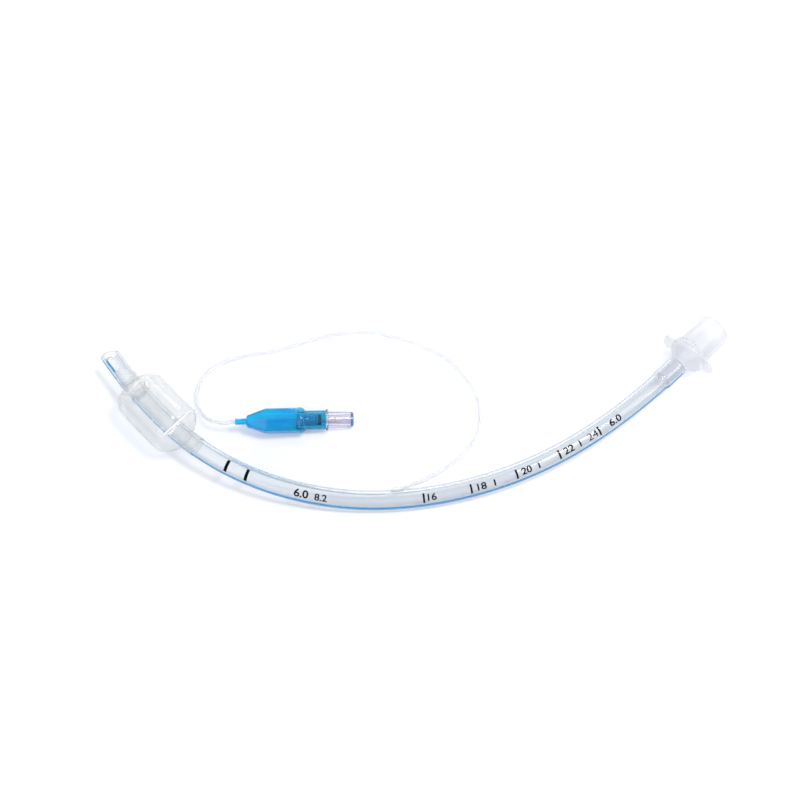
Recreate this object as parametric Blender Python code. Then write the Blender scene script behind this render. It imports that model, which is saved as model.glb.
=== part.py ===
# A cuffed endotracheal tube lying as it comes to rest: the curved breathing tube with its
# side eye and its inflation channel, the cuff, the 15 mm connector with its grip ears, and
# the inflation line that runs to a pilot balloon with a spring valve.
# Metres, +Z up. The surface it lies on is z = 0, and +X points out of the connector.
import math

import bmesh
import bpy
import numpy as np
from mathutils import Matrix, Vector

# Fits
BOND_GAP = 0.0002         # between pieces that are bonded or pressed together
MERGE = 0.000001          # points closer than this are one point

# Tube
TUBE_LENGTH = 0.2893
TUBE_BORE = 0.0060
TUBE_WALL = 0.0011
TUBE_SIDES = 20
TUBE_STEP = 0.0062        # distance between the rings of the tube
TUBE_END = (0.0791, -0.0838)   # where its machine end lies, seen from above
# How it bends: at shares of its length from the tip, the turn in radians that it would make
# if its whole length bent as much as there. It is tightest past the cuff.
BEND_AT = (0.0, 0.07, 0.14, 0.21, 0.28, 0.35, 0.42, 0.49, 0.63, 0.77, 0.91, 1.0)
BEND = (1.51, 1.16, 1.39, 3.10, 2.88, 2.34, 1.80, 1.86, 1.75, 1.78, 1.05, 0.96)
LOW_POINT = 0.140         # distance from the tip at which the tube touches the surface
TIP_SLANT = 0.0018        # how much longer the tip is on its outer side
TIP_LONG_SIDE = math.radians(200)

# Side eye near the tip
EYE_AT = 0.0074
EYE_LENGTH = 0.0084
EYE_WIDTH = 0.0030
EYE_FACING = math.radians(120)

# Inflation channel in the wall, on the inside of the bend
CHANNEL_RADIUS = 0.0003
PORT_RADIUS = 0.0005

# Cuff
CUFF_CENTRE = 0.0370      # distance from the tip
CUFF_LENGTH = 0.0306
CUFF_RADIUS = 0.0115
CUFF_SHOULDER = 0.0050
CUFF_TUCK = 0.0016        # how far its ends fold back over the collars
CUFF_WALL = 0.0003
CUFF_SIDES = 32
COLLAR_TIP = 0.0076       # collar length towards the tip
COLLAR_MACHINE = 0.0094   # collar length towards the connector

# Connector
SPIGOT_DEPTH = 0.0098     # how far it reaches into the tube
SPIGOT_BORE = 0.0047
SPIGOT_STRETCH = 0.00045  # how much wider it makes the tube, on the radius
STRETCH_RAMP = 0.0020
THROAT_RADIUS = 0.0040    # of the short straight part between the tube's end and the dome
THROAT_LENGTH = 0.0013
DOME_LENGTH = 0.0058
DOME_RADIUS = 0.0083
FLANGE_RADIUS = 0.0088
FLANGE_THICK = 0.0013
EAR_REACH = 0.0132        # from the axis to an ear's tip
EAR_HEIGHT = 0.0078
EAR_CORNER = 0.0028
EAR_FILLET = 0.0026       # where the ears run into the flange's edge
EAR_ROLL = math.radians(6)
BARREL_LENGTH = 0.0174
BARREL_RADIUS = 0.00775   # at the flange, with a taper of 1 in 40 on the diameter
BARREL_TAPER = 0.0125
BARREL_WALL = 0.00125
GRIP_RIBS = 24
RIB_HEIGHT = 0.00055
RIB_LENGTH = 0.0012
EDGE_ROUND = 0.0003

# Inflation line, and its route over the surface from the tube's notch to the balloon's neck
LINE_RADIUS = 0.0010
LINE_POINTS = 56
ROUTE = (
    (-0.0484, -0.0352, 0.0042), (-0.0455, -0.0369, 0.0039), (-0.0409, -0.0387, 0.0028),
    (-0.0331, -0.0411, 0.0015), (-0.0245, -0.0431, 0.0011), (-0.0155, -0.0440, 0.0010),
    (-0.0065, -0.0428, 0.0010), (0.0023, -0.0388, 0.0010), (0.0097, -0.0316, 0.0010),
    (0.0142, -0.0214, 0.0010), (0.0161, -0.0092, 0.0010), (0.0141, 0.0038, 0.0010),
    (0.0093, 0.0163, 0.0010), (0.0021, 0.0280, 0.0010), (-0.0090, 0.0377, 0.0010),
    (-0.0210, 0.0445, 0.0010), (-0.0325, 0.0502, 0.0010), (-0.0430, 0.0574, 0.0010),
    (-0.0515, 0.0621, 0.0010), (-0.0587, 0.0639, 0.0010), (-0.0650, 0.0633, 0.0011),
    (-0.0699, 0.0609, 0.0014), (-0.0736, 0.0578, 0.0020), (-0.0764, 0.0536, 0.0031),
    (-0.0783, 0.0479, 0.0047), (-0.0784, 0.0425, 0.0062), (-0.0761, 0.0379, 0.0074),
    (-0.0726, 0.0342, 0.0081),
)

# Pilot balloon: its neck's open end, the way it points, and its lengths along its axis
PILOT_AT = (-0.0724, 0.0340)
PILOT_HEADING = math.radians(-41.7)
NECK_LENGTH = 0.0049
NECK_OUTER = 0.00130
BALLOON_START = 0.00255
BALLOON_RADIUS = 0.00575
BALLOON_CONE = 0.0081
BALLOON_STRAIGHT = 0.0142
BALLOON_SHOULDER = 0.0026
BALLOON_EDGE = 0.0007     # half the rounding at the cone's two ends
TAIL_LENGTH = 0.0087
FILM_WALL = 0.00035
PILOT_SIDES = 24

# Valve, whose skirt sits in the balloon's tail
SKIRT_RADIUS = 0.0037
SKIRT_LENGTH = 0.0122
CHAMBER_RADIUS = 0.00275
COLLAR_RADIUS = 0.0046
COLLAR_THICK = 0.0009
LUER_LENGTH = 0.0108
LUER_OUTER = 0.0035
LUER_TIP = 0.0032
LUER_BORE = 0.00214
LUER_TAPER = 0.03
SEAT_DEPTH = 0.0018       # from the collar back to the face that the seal rests on
SEAT_THICK = 0.0010
SEAT_HOLE = 0.00145
RETAINER_THICK = 0.0010
RETAINER_HOLE = 0.0010
SEAL_RADIUS = 0.0024
SEAL_THICK = 0.0012
STEM_RADIUS = 0.0009
STEM_SHOULDER = 0.0022
SHOULDER_THICK = 0.0008
STEM_HEAD = 0.00130
HEAD_LENGTH = 0.0030
HEAD_DEPTH = 0.0049       # from the valve's mouth down to the stem's head
GUIDE_LENGTH = 0.0030     # the stem's pin inside the spring
SPRING_RADIUS = 0.0018
SPRING_WIRE = 0.00018
SPRING_TURNS = 6

# Worked out from the sizes above
TUBE_RADIUS = TUBE_BORE / 2 + TUBE_WALL
CHANNEL_AT = TUBE_BORE / 2 + TUBE_WALL / 2
DOME_START = BOND_GAP + THROAT_LENGTH
FLANGE_AT = DOME_START + DOME_LENGTH
BARREL_START = FLANGE_AT + FLANGE_THICK
CONNECTOR_END = BARREL_START + BARREL_LENGTH
SEAL_HOLE = STEM_RADIUS + BOND_GAP


# Shapes of lines and profiles

def smooth(t):
    """0 to 1 with level ends."""
    t = np.clip(t, 0.0, 1.0)
    return t * t * (3 - 2 * t)


def tube_line():
    """The tube's centreline: a function from the distance to the tip to a point and a heading."""
    steps = np.linspace(0.0, TUBE_LENGTH, 581)
    turn = np.interp(steps / TUBE_LENGTH, BEND_AT, BEND) / TUBE_LENGTH
    swept = np.concatenate([[0.0], np.cumsum((turn[1:] + turn[:-1]) / 2 * np.diff(steps))])
    heading = swept - swept[-1]
    middle = (heading[1:] + heading[:-1]) / 2
    x = np.concatenate([[0.0], np.cumsum(np.cos(middle) * np.diff(steps))])
    y = np.concatenate([[0.0], np.cumsum(np.sin(middle) * np.diff(steps))])
    x += TUBE_END[0] - x[-1]
    y += TUBE_END[1] - y[-1]

    def height(s):
        cuff_end = CUFF_CENTRE + CUFF_LENGTH / 2
        sink = smooth((s - cuff_end) / (LOW_POINT - cuff_end))
        rise = smooth((s - LOW_POINT) / (TUBE_LENGTH - SPIGOT_DEPTH - LOW_POINT))
        return (CUFF_RADIUS + (TUBE_RADIUS - CUFF_RADIUS) * sink
                + (FLANGE_RADIUS - TUBE_RADIUS) * rise)

    def at(s):
        turned_by = np.interp(s, steps, heading)
        point = Vector((np.interp(s, steps, x), np.interp(s, steps, y), height(s)))
        return point, turned_by

    return at


LINE_AT = tube_line()


def frame_at(s):
    """The tube's centre at s, with the unit vectors towards the inside of the bend and up."""
    point, heading = LINE_AT(s)
    ahead, behind = LINE_AT(min(s + 0.001, TUBE_LENGTH))[0], LINE_AT(max(s - 0.001, 0.0))[0]
    along = (ahead - behind).normalized()
    side = Vector((-math.sin(heading), math.cos(heading), 0.0))
    return point, side, along.cross(side).normalized(), along


def ring_at(s, radius, sides, slant=0.0):
    """Points round the tube's centreline. A slant pushes all but the tip's long side back."""
    points = []
    for i in range(sides):
        angle = 2 * math.pi * i / sides
        back = slant * (1 - math.cos(angle - TIP_LONG_SIDE)) / 2
        centre, side, up, _ = frame_at(s + back)
        points.append(centre + radius * (math.cos(angle) * side + math.sin(angle) * up))
    return points


def offset(profile, distance):
    """A profile moved sideways by a wall thickness, to the right of its direction."""
    points = np.array(profile)
    steps = np.diff(points, axis=0)
    steps /= np.linalg.norm(steps, axis=1)[:, None]
    ends = np.vstack([steps[:1], (steps[1:] + steps[:-1]) / 2, steps[-1:]])
    ends /= (ends ** 2).sum(axis=1)[:, None]
    moved = points + distance * np.stack([ends[:, 1], -ends[:, 0]], axis=1)
    return [tuple(p) for p in moved.tolist()]


def arc(centre, radii, start, end, count):
    """Points on a quarter of an ellipse, with angles in degrees."""
    angles = np.radians(np.linspace(start, end, count))
    return [(centre[0] + radii[0] * math.cos(a), centre[1] + radii[1] * math.sin(a))
            for a in angles]


def smooth_route(points, count):
    """Evenly spaced points on a smooth curve through the route's own points."""
    route = [Vector(p) for p in points]
    route = [2 * route[0] - route[1]] + route + [2 * route[-1] - route[-2]]
    fine = []
    for a, b, c, d in zip(route, route[1:], route[2:], route[3:]):
        for t in np.linspace(0, 1, 12, endpoint=False):
            fine.append(0.5 * (2 * b + (c - a) * t + (2 * a - 5 * b + 4 * c - d) * t ** 2
                               + (3 * b - a - 3 * c + d) * t ** 3))
    fine.append(route[-2])
    fine = np.array(fine)
    run = np.concatenate([[0.0], np.cumsum(np.linalg.norm(np.diff(fine, axis=0), axis=1))])
    places = np.linspace(0.0, run[-1], count)
    return [Vector([np.interp(p, run, fine[:, k]) for k in range(3)]) for p in places]


# Making objects

def material(name, color, roughness, alpha=1.0, metallic=0.0):
    made = bpy.data.materials.new(name)
    made.use_nodes = True
    shader = made.node_tree.nodes["Principled BSDF"]
    shader.inputs["Base Color"].default_value = (*color, 1.0)
    shader.inputs["Roughness"].default_value = roughness
    shader.inputs["Metallic"].default_value = metallic
    shader.inputs["Alpha"].default_value = alpha
    return made


def finish(name, bm, look, parent=None):
    """Turns a bmesh into a named object with its material and smooth shading."""
    bmesh.ops.remove_doubles(bm, verts=bm.verts, dist=MERGE)
    bmesh.ops.recalc_face_normals(bm, faces=bm.faces)
    mesh = bpy.data.meshes.new(name)
    bm.to_mesh(mesh)
    bm.free()
    mesh.shade_smooth()
    mesh.set_sharp_from_angle(angle=math.radians(35))
    if look:
        mesh.materials.append(look)
    made = bpy.data.objects.new(name, mesh)
    bpy.context.collection.objects.link(made)
    made.parent = parent
    return made


def lofted(name, rings, look, hollow=True):
    """Rings joined one to the next. A hollow body's last ring joins its first."""
    bm = bmesh.new()
    loops = [[bm.verts.new(p) for p in ring] for ring in rings]
    pairs = list(zip(loops, loops[1:]))
    if hollow:
        pairs.append((loops[-1], loops[0]))
    else:
        bm.faces.new(loops[0])
        bm.faces.new(loops[-1])
    for first, second in pairs:
        for i in range(len(first)):
            bm.faces.new((first[i - 1], first[i], second[i], second[i - 1]))
    return finish(name, bm, look)


def turned(name, profile, look, parent, sides, hollow=True, ribs=None):
    """A profile of (distance, radius) spun round the parent's X axis."""
    bm = bmesh.new()
    points = [bm.verts.new((u, 0.0, r)) for u, r in profile]
    ahead = points[1:] + (points[:1] if hollow else [])
    edges = [bm.edges.new(pair) for pair in zip(points, ahead)]
    bmesh.ops.spin(bm, geom=points + edges, axis=(1, 0, 0), cent=(0, 0, 0),
                   angle=2 * math.pi, steps=sides, use_merge=True)
    if ribs:
        raise_ribs(bm, sides, *ribs)
    return finish(name, bm, look, parent)


def raise_ribs(bm, sides, start, end, radius, height):
    """Lifts every second line of points between start and end, which makes small ribs."""
    for v in bm.verts:
        from_axis = math.hypot(v.co.y, v.co.z)
        line = round(math.atan2(v.co.y, v.co.z) / (2 * math.pi) * sides)
        if line % 2 and start - MERGE < v.co.x < end + MERGE and abs(from_axis - radius) < height:
            v.co.yz *= (from_axis + height) / from_axis


def plate(name, outline, start, end, parent):
    """A flat outline in the parent's YZ plane, extruded along X."""
    bm = bmesh.new()
    face = bm.faces.new([bm.verts.new((start, y, z)) for y, z in outline])
    grown = bmesh.ops.extrude_face_region(bm, geom=[face])
    moved = [v for v in grown["geom"] if isinstance(v, bmesh.types.BMVert)]
    bmesh.ops.translate(bm, verts=moved, vec=(end - start, 0.0, 0.0))
    return finish(name, bm, None, parent)


def combine(target, tool, operation):
    """Cuts a tool out of the target, or joins it on, and hides the tool."""
    step = target.modifiers.new(tool.name, "BOOLEAN")
    step.operation = operation
    step.solver = "EXACT"
    step.object = tool
    tool.hide_render = True
    tool.display_type = "WIRE"
    tool.hide_set(True)


def empty(name, matrix):
    made = bpy.data.objects.new(name, None)
    made.matrix_world = matrix
    made.empty_display_size = 0.01
    bpy.context.collection.objects.link(made)
    return made


# The pieces

def make_tube():
    look = material("clear_pvc_tube", (0.86, 0.89, 0.92), 0.12, 0.45)
    bore, outer = TUBE_BORE / 2, TUBE_RADIUS
    stretch_from = TUBE_LENGTH - SPIGOT_DEPTH - STRETCH_RAMP
    count = round((stretch_from - TUBE_STEP) / TUBE_STEP)
    places = list(np.linspace(TUBE_STEP, stretch_from, count + 1))
    places += [stretch_from + STRETCH_RAMP, TUBE_LENGTH]
    wider = [SPIGOT_STRETCH if s > stretch_from + MERGE else 0.0 for s in places]
    rim = arc((TUBE_WALL / 2, bore + TUBE_WALL / 2), (TUBE_WALL / 2, TUBE_WALL / 2), 90, 270, 5)
    rings = [ring_at(s, r, TUBE_SIDES, TIP_SLANT) for s, r in rim]
    rings += [ring_at(s, bore + w, TUBE_SIDES) for s, w in zip(places, wider)]
    rings += [ring_at(s, outer + w, TUBE_SIDES) for s, w in reversed(list(zip(places, wider)))]
    tube = lofted("tube", rings, look)

    port_at = CUFF_CENTRE
    notch, notch_at = make_notch()
    inside = [s for s in places if port_at < s < notch_at]
    route = [channel_ring(s) for s in [port_at, *inside, notch_at]]
    combine(tube, lofted("channel_cutter", route, None, hollow=False), "DIFFERENCE")
    combine(tube, make_port(port_at), "DIFFERENCE")
    combine(tube, notch, "DIFFERENCE")
    combine(tube, make_eye(), "DIFFERENCE")


def channel_ring(s):
    """A small ring inside the wall, on the inside of the bend."""
    centre, side, up, _ = frame_at(s)
    angles = [math.pi * i / 3 for i in range(6)]
    return [centre + (CHANNEL_AT + CHANNEL_RADIUS * math.cos(a)) * side
            + CHANNEL_RADIUS * math.sin(a) * up for a in angles]


def make_port(s):
    """The hole from the channel out into the cuff."""
    centre, side, up, along = frame_at(s)
    rings = []
    for far in (CHANNEL_AT, TUBE_RADIUS + TUBE_WALL):
        rings.append([centre + far * side + PORT_RADIUS
                      * (math.cos(math.pi * i / 4) * along + math.sin(math.pi * i / 4) * up)
                      for i in range(8)])
    return lofted("port_cutter", rings, None, hollow=False)


def make_notch():
    """The notch that the inflation line is bonded into, and its distance from the tip."""
    start, toward = Vector(ROUTE[0]), (Vector(ROUTE[1]) - Vector(ROUTE[0])).normalized()
    radius = LINE_RADIUS + BOND_GAP
    across = toward.orthogonal().normalized()
    other = toward.cross(across)
    nose = [(-radius, 0.15 * radius), (-0.8 * radius, 0.6 * radius),
            (-0.45 * radius, 0.9 * radius), (0.0, radius), (8 * radius, radius)]
    rings = [[start + back * toward + r * (math.cos(math.pi * i / 6) * across
                                           + math.sin(math.pi * i / 6) * other)
              for i in range(12)] for back, r in nose]
    places = np.linspace(0.0, TUBE_LENGTH, 581)
    nearest = min(places, key=lambda s: (LINE_AT(s)[0] - start).length)
    return lofted("notch_cutter", rings, None, hollow=False), nearest


def make_eye():
    """A long hole with round ends through one wall near the tip."""
    centre, side, up, along = frame_at(EYE_AT)
    out = math.cos(EYE_FACING) * side + math.sin(EYE_FACING) * up
    across = along.cross(out)
    straight = (EYE_LENGTH - EYE_WIDTH) / 2
    outline = [(straight + u, v) for u, v in arc((0, 0), (EYE_WIDTH / 2,) * 2, -90, 90, 7)]
    outline += [(u - straight, v) for u, v in arc((0, 0), (EYE_WIDTH / 2,) * 2, 90, 270, 7)]
    rings = [[centre + far * out + u * along + v * across for u, v in outline]
             for far in (TUBE_BORE / 4, 2 * TUBE_RADIUS)]
    return lofted("eye_cutter", rings, None, hollow=False)


def make_cuff():
    look = material("clear_cuff_film", (0.88, 0.90, 0.93), 0.2, 0.3)
    collar = TUBE_RADIUS + BOND_GAP + CUFF_WALL
    start = CUFF_CENTRE - CUFF_LENGTH / 2
    end = CUFF_CENTRE + CUFF_LENGTH / 2
    bulge = CUFF_RADIUS - CUFF_SHOULDER
    tuck = [(CUFF_TUCK, collar), (0.7 * CUFF_TUCK, collar + 0.12 * CUFF_SHOULDER),
            (0.25 * CUFF_TUCK, (collar + bulge) / 2)]
    half = tuck + arc((CUFF_SHOULDER, bulge), (CUFF_SHOULDER, CUFF_SHOULDER), 180, 90, 6)
    outer = [(start - COLLAR_TIP, collar)] + [(start + u, r) for u, r in half]
    outer += [(CUFF_CENTRE, CUFF_RADIUS)]
    outer += [(end - u, r) for u, r in reversed(half)] + [(end + COLLAR_MACHINE, collar)]
    inner = offset(outer, CUFF_WALL)
    rings = [ring_at(s, r, CUFF_SIDES) for s, r in outer + inner[::-1]]
    lofted("cuff", rings, look)


def make_connector():
    look = material("milky_connector", (0.90, 0.91, 0.93), 0.3, 0.8)
    end = LINE_AT(TUBE_LENGTH)[0]
    axis = empty("connector_axis", Matrix.Translation(end))
    spigot = TUBE_BORE / 2 + SPIGOT_STRETCH - BOND_GAP
    hole = SPIGOT_BORE / 2
    tip_radius = BARREL_RADIUS - BARREL_TAPER * BARREL_LENGTH
    mouth = tip_radius - BARREL_WALL
    deep = BARREL_RADIUS - BARREL_WALL - 2 * BARREL_TAPER * BARREL_LENGTH
    dome = [(DOME_START + DOME_LENGTH * t,
             THROAT_RADIUS + (DOME_RADIUS - THROAT_RADIUS) * smooth(t ** 0.8))
            for t in np.linspace(0, 1, 8)]
    funnel = [(BARREL_START - (BARREL_START - BOND_GAP) * t, deep + (hole - deep) * smooth(t))
              for t in np.linspace(0, 1, 6)]
    rib_end = BARREL_START + RIB_LENGTH
    profile = [
        (-SPIGOT_DEPTH, hole), (-SPIGOT_DEPTH, spigot - EDGE_ROUND),
        (EDGE_ROUND - SPIGOT_DEPTH, spigot), (BOND_GAP, spigot), (BOND_GAP, THROAT_RADIUS), *dome,
        (FLANGE_AT, FLANGE_RADIUS - EDGE_ROUND), (FLANGE_AT + EDGE_ROUND, FLANGE_RADIUS),
        (BARREL_START - EDGE_ROUND, FLANGE_RADIUS), (BARREL_START, FLANGE_RADIUS - EDGE_ROUND),
        (BARREL_START, BARREL_RADIUS), (rib_end, BARREL_RADIUS),
        (rib_end + EDGE_ROUND, BARREL_RADIUS - BARREL_TAPER * (RIB_LENGTH + EDGE_ROUND)),
        (CONNECTOR_END - EDGE_ROUND, tip_radius), (CONNECTOR_END, tip_radius - EDGE_ROUND),
        (CONNECTOR_END, mouth), *funnel,
    ]
    ribs = (BARREL_START, rib_end, BARREL_RADIUS, RIB_HEIGHT)
    connector = turned("connector", profile, look, axis, 2 * GRIP_RIBS, ribs=ribs)

    roll = Matrix.Rotation(-EAR_ROLL, 2)
    inset = 0.1 * EDGE_ROUND
    for name, way in (("left_ear", 1), ("right_ear", -1)):
        outline = [roll @ Vector((way * y, z)) for y, z in ear_outline()]
        combine(connector, plate(name, outline, FLANGE_AT + inset, BARREL_START - inset, axis),
                "UNION")


def ear_outline():
    """An ear seen along the axis. Its fillets end just inside the flange's edge."""
    half = EAR_HEIGHT / 2
    edge = FLANGE_RADIUS - EDGE_ROUND
    fillet = (math.sqrt((edge + EAR_FILLET) ** 2 - (half + EAR_FILLET) ** 2), half + EAR_FILLET)
    meets = 180 + math.degrees(math.atan2(fillet[1], fillet[0]))
    upper = arc(fillet, (EAR_FILLET,) * 2, meets, 270, 6)
    upper += arc((EAR_REACH - EAR_CORNER, half - EAR_CORNER), (EAR_CORNER,) * 2, 90, 0, 5)
    return upper + [(y, -z) for y, z in reversed(upper)]


def make_line():
    look = material("clear_line", (0.87, 0.90, 0.94), 0.2, 0.5)
    curve = bpy.data.curves.new("inflation_line", "CURVE")
    curve.dimensions = "3D"
    curve.bevel_depth = LINE_RADIUS
    curve.bevel_resolution = 2
    curve.use_fill_caps = True
    points = smooth_route(ROUTE, LINE_POINTS)
    spline = curve.splines.new("POLY")
    spline.points.add(len(points) - 1)
    for place, point in zip(spline.points, points):
        place.co = (point.x, point.y, max(point.z, LINE_RADIUS), 1.0)
    curve.materials.append(look)
    bpy.context.collection.objects.link(bpy.data.objects.new("inflation_line", curve))


def pilot_axis():
    """An empty at the neck's open end. The balloon and the valve's collar both touch z = 0."""
    heavy_end = NECK_LENGTH + BALLOON_CONE + BALLOON_STRAIGHT
    collar = heavy_end + BALLOON_SHOULDER + TAIL_LENGTH + BOND_GAP + COLLAR_THICK
    pitch = math.atan((BALLOON_RADIUS - COLLAR_RADIUS) / (collar - heavy_end))
    height = BALLOON_RADIUS * math.cos(pitch) + heavy_end * math.sin(pitch)
    matrix = (Matrix.Translation((*PILOT_AT, height)) @ Matrix.Rotation(PILOT_HEADING, 4, "Z")
              @ Matrix.Rotation(pitch, 4, "Y"))
    return empty("pilot_axis", matrix)


def make_pilot_balloon(axis):
    look = material("blue_balloon_film", (0.0, 0.36, 0.80), 0.2, 0.85)
    tail = SKIRT_RADIUS + BOND_GAP + FILM_WALL
    cone_end = NECK_LENGTH + BALLOON_CONE
    straight_end = cone_end + BALLOON_STRAIGHT
    tail_start = straight_end + BALLOON_SHOULDER
    drop = BALLOON_RADIUS - tail
    slope = (BALLOON_RADIUS - BALLOON_START) / BALLOON_CONE
    outer = [(0.0, NECK_OUTER), (NECK_LENGTH - BALLOON_EDGE, NECK_OUTER),
             (NECK_LENGTH, (NECK_OUTER + BALLOON_START) / 2),
             (NECK_LENGTH + BALLOON_EDGE, BALLOON_START + slope * BALLOON_EDGE),
             (cone_end - BALLOON_EDGE, BALLOON_RADIUS - slope * BALLOON_EDGE),
             (cone_end + BALLOON_EDGE, BALLOON_RADIUS),
             *arc((straight_end, tail), (BALLOON_SHOULDER, drop), 90, 10, 5),
             (tail_start + BALLOON_EDGE, tail), (tail_start + TAIL_LENGTH, tail)]
    turned("pilot_balloon", outer + offset(outer, FILM_WALL)[::-1], look, axis, PILOT_SIDES)


def make_valve(axis):
    collar = (NECK_LENGTH + BALLOON_CONE + BALLOON_STRAIGHT + BALLOON_SHOULDER + TAIL_LENGTH
              + BOND_GAP)
    back = collar - SKIRT_LENGTH
    front = collar + COLLAR_THICK
    mouth = front + LUER_LENGTH
    seat = collar - SEAT_DEPTH
    luer_start = seat + SEAT_THICK
    deep = LUER_BORE - LUER_TAPER * (mouth - luer_start)
    chamfer = EDGE_ROUND
    body = [(back, CHAMBER_RADIUS), (back, SKIRT_RADIUS - chamfer), (back + chamfer, SKIRT_RADIUS),
            (collar, SKIRT_RADIUS), (collar, COLLAR_RADIUS), (front, COLLAR_RADIUS),
            (front, LUER_OUTER), (mouth, LUER_TIP), (mouth, LUER_BORE), (luer_start, deep),
            (luer_start, SEAT_HOLE), (seat, SEAT_HOLE), (seat, CHAMBER_RADIUS)]
    turned("valve_body", body, material("clear_valve_body", (0.82, 0.83, 0.93), 0.08, 0.5),
           axis, PILOT_SIDES)

    ring = CHAMBER_RADIUS - BOND_GAP
    stop = back + RETAINER_THICK
    turned("valve_retainer",
           [(back, RETAINER_HOLE), (back, ring), (stop, ring), (stop, RETAINER_HOLE)],
           material("white_retainer", (0.85, 0.86, 0.88), 0.35), axis, 16)

    seal_end = seat - BOND_GAP
    seal_start = seal_end - SEAL_THICK
    turned("valve_seal", [(seal_start, SEAL_HOLE), (seal_start, SEAL_RADIUS),
                          (seal_end, SEAL_RADIUS), (seal_end, SEAL_HOLE)],
           material("black_seal_rubber", (0.02, 0.02, 0.025), 0.6), axis, 16)

    rest = seal_start - BOND_GAP
    shoulder = rest - SHOULDER_THICK
    head_end = mouth - HEAD_DEPTH
    head = head_end - HEAD_LENGTH
    slope = STEM_HEAD - STEM_RADIUS
    stem = [(shoulder - GUIDE_LENGTH, 0.0), (shoulder - GUIDE_LENGTH, STEM_RADIUS - slope / 2),
            (shoulder - GUIDE_LENGTH + slope, STEM_RADIUS), (shoulder, STEM_RADIUS),
            (shoulder, STEM_SHOULDER), (rest, STEM_SHOULDER), (rest, STEM_RADIUS),
            (head - slope, STEM_RADIUS), (head, STEM_HEAD), (head_end - slope / 2, STEM_HEAD),
            (head_end, STEM_RADIUS), (head_end, 0.0)]
    turned("valve_stem", stem, material("cream_stem", (0.80, 0.74, 0.60), 0.4), axis, 16,
           hollow=False)

    make_spring(axis, stop + BOND_GAP + SPRING_WIRE, shoulder - BOND_GAP - SPRING_WIRE)


def make_spring(axis, start, end):
    """A helix of round wire whose first and last turns are wound flat."""
    per_turn, sides = 12, 5
    count = SPRING_TURNS * per_turn
    rings = []
    for i in range(count + 1):
        t = i / count
        flat = 2.4 * SPRING_WIRE / (end - start)
        climb = np.interp(t * SPRING_TURNS, (0, 1, SPRING_TURNS - 1, SPRING_TURNS),
                          (0, flat, 1 - flat, 1))
        angle = 2 * math.pi * t * SPRING_TURNS
        out = Vector((0.0, math.cos(angle), math.sin(angle)))
        centre = SPRING_RADIUS * out + Vector((start + climb * (end - start), 0.0, 0.0))
        rings.append([centre + SPRING_WIRE * (math.cos(2 * math.pi * k / sides) * out
                      + math.sin(2 * math.pi * k / sides) * Vector((1.0, 0.0, 0.0)))
                      for k in range(sides)])
    spring = lofted("valve_spring", rings,
                    material("spring_steel", (0.55, 0.56, 0.58), 0.3, metallic=1.0), hollow=False)
    spring.parent = axis


for old in list(bpy.data.objects):
    bpy.data.objects.remove(old, do_unlink=True)
make_tube()
make_cuff()
make_connector()
make_line()
pilot = pilot_axis()
make_pilot_balloon(pilot)
make_valve(pilot)
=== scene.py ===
import math

import bmesh
import bpy
import numpy as np
from mathutils import Matrix, Vector


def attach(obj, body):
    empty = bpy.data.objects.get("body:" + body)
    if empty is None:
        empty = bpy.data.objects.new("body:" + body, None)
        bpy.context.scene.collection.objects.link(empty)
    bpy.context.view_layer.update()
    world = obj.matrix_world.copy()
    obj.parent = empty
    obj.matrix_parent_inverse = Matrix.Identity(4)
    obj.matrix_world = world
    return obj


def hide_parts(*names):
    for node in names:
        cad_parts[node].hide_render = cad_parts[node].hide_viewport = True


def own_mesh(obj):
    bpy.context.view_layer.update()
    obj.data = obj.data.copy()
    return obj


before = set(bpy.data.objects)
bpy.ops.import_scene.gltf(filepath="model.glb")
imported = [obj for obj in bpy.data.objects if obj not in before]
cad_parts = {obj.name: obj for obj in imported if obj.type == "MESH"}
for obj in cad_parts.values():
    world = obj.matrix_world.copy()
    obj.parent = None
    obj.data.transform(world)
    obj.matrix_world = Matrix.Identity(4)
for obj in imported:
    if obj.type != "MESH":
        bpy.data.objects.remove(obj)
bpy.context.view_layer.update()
scene = bpy.context.scene
mm = 0.001  # lengths in this file are millimetres, and every mesh is made in metres
root = "root"
plunger = "valve_plunger"


# Colour, nodes and materials

def toLinear(hexColour):
    # sRGB hex to the linear values that Blender's sockets take
    parts = [int(hexColour[i:i + 2], 16) / 255 for i in (1, 3, 5)]
    return (*(c / 12.92 if c <= 0.04045 else ((c + 0.055) / 1.055) ** 2.4 for c in parts), 1.0)


def addNode(tree, kind, inputs=None, **options):
    # Each input is a value, or the node or socket that it is linked to
    node = tree.nodes.new("ShaderNode" + kind)
    for key, value in options.items():
        setattr(node, key, value)
    for name, value in (inputs or {}).items():
        source = value.outputs[0] if hasattr(value, "outputs") else value
        if isinstance(source, bpy.types.NodeSocket):
            tree.links.new(source, node.inputs[name])
        else:
            node.inputs[name].default_value = value
    return node


def startMaterial(name):
    material = bpy.data.materials.new(name)
    material.use_nodes = True
    material.node_tree.nodes.clear()
    return material, material.node_tree


def grain(tree, size, stretch=(1, 1, 1), detail=3.0, space="Object"):
    # Noise whose patches are about size millimetres across
    where = addNode(tree, "TexCoord")
    unit = mm if space == "Object" else 1
    place = addNode(tree, "Mapping", {
        "Scale": [1 / (size * unit * s) for s in stretch], "Vector": where.outputs[space]})
    return addNode(tree, "TexNoise", {"Scale": 1.0, "Detail": detail, "Vector": place})


def rayIs(tree, *kinds):
    # 1 for light rays of any of these kinds, and 0 for the rest
    ray = addNode(tree, "LightPath")
    found, *others = (ray.outputs[f"Is {kind} Ray"] for kind in kinds)
    for other in others:
        found = addNode(tree, "Math", {0: found, 1: other}, operation="MAXIMUM")
    return found


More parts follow.
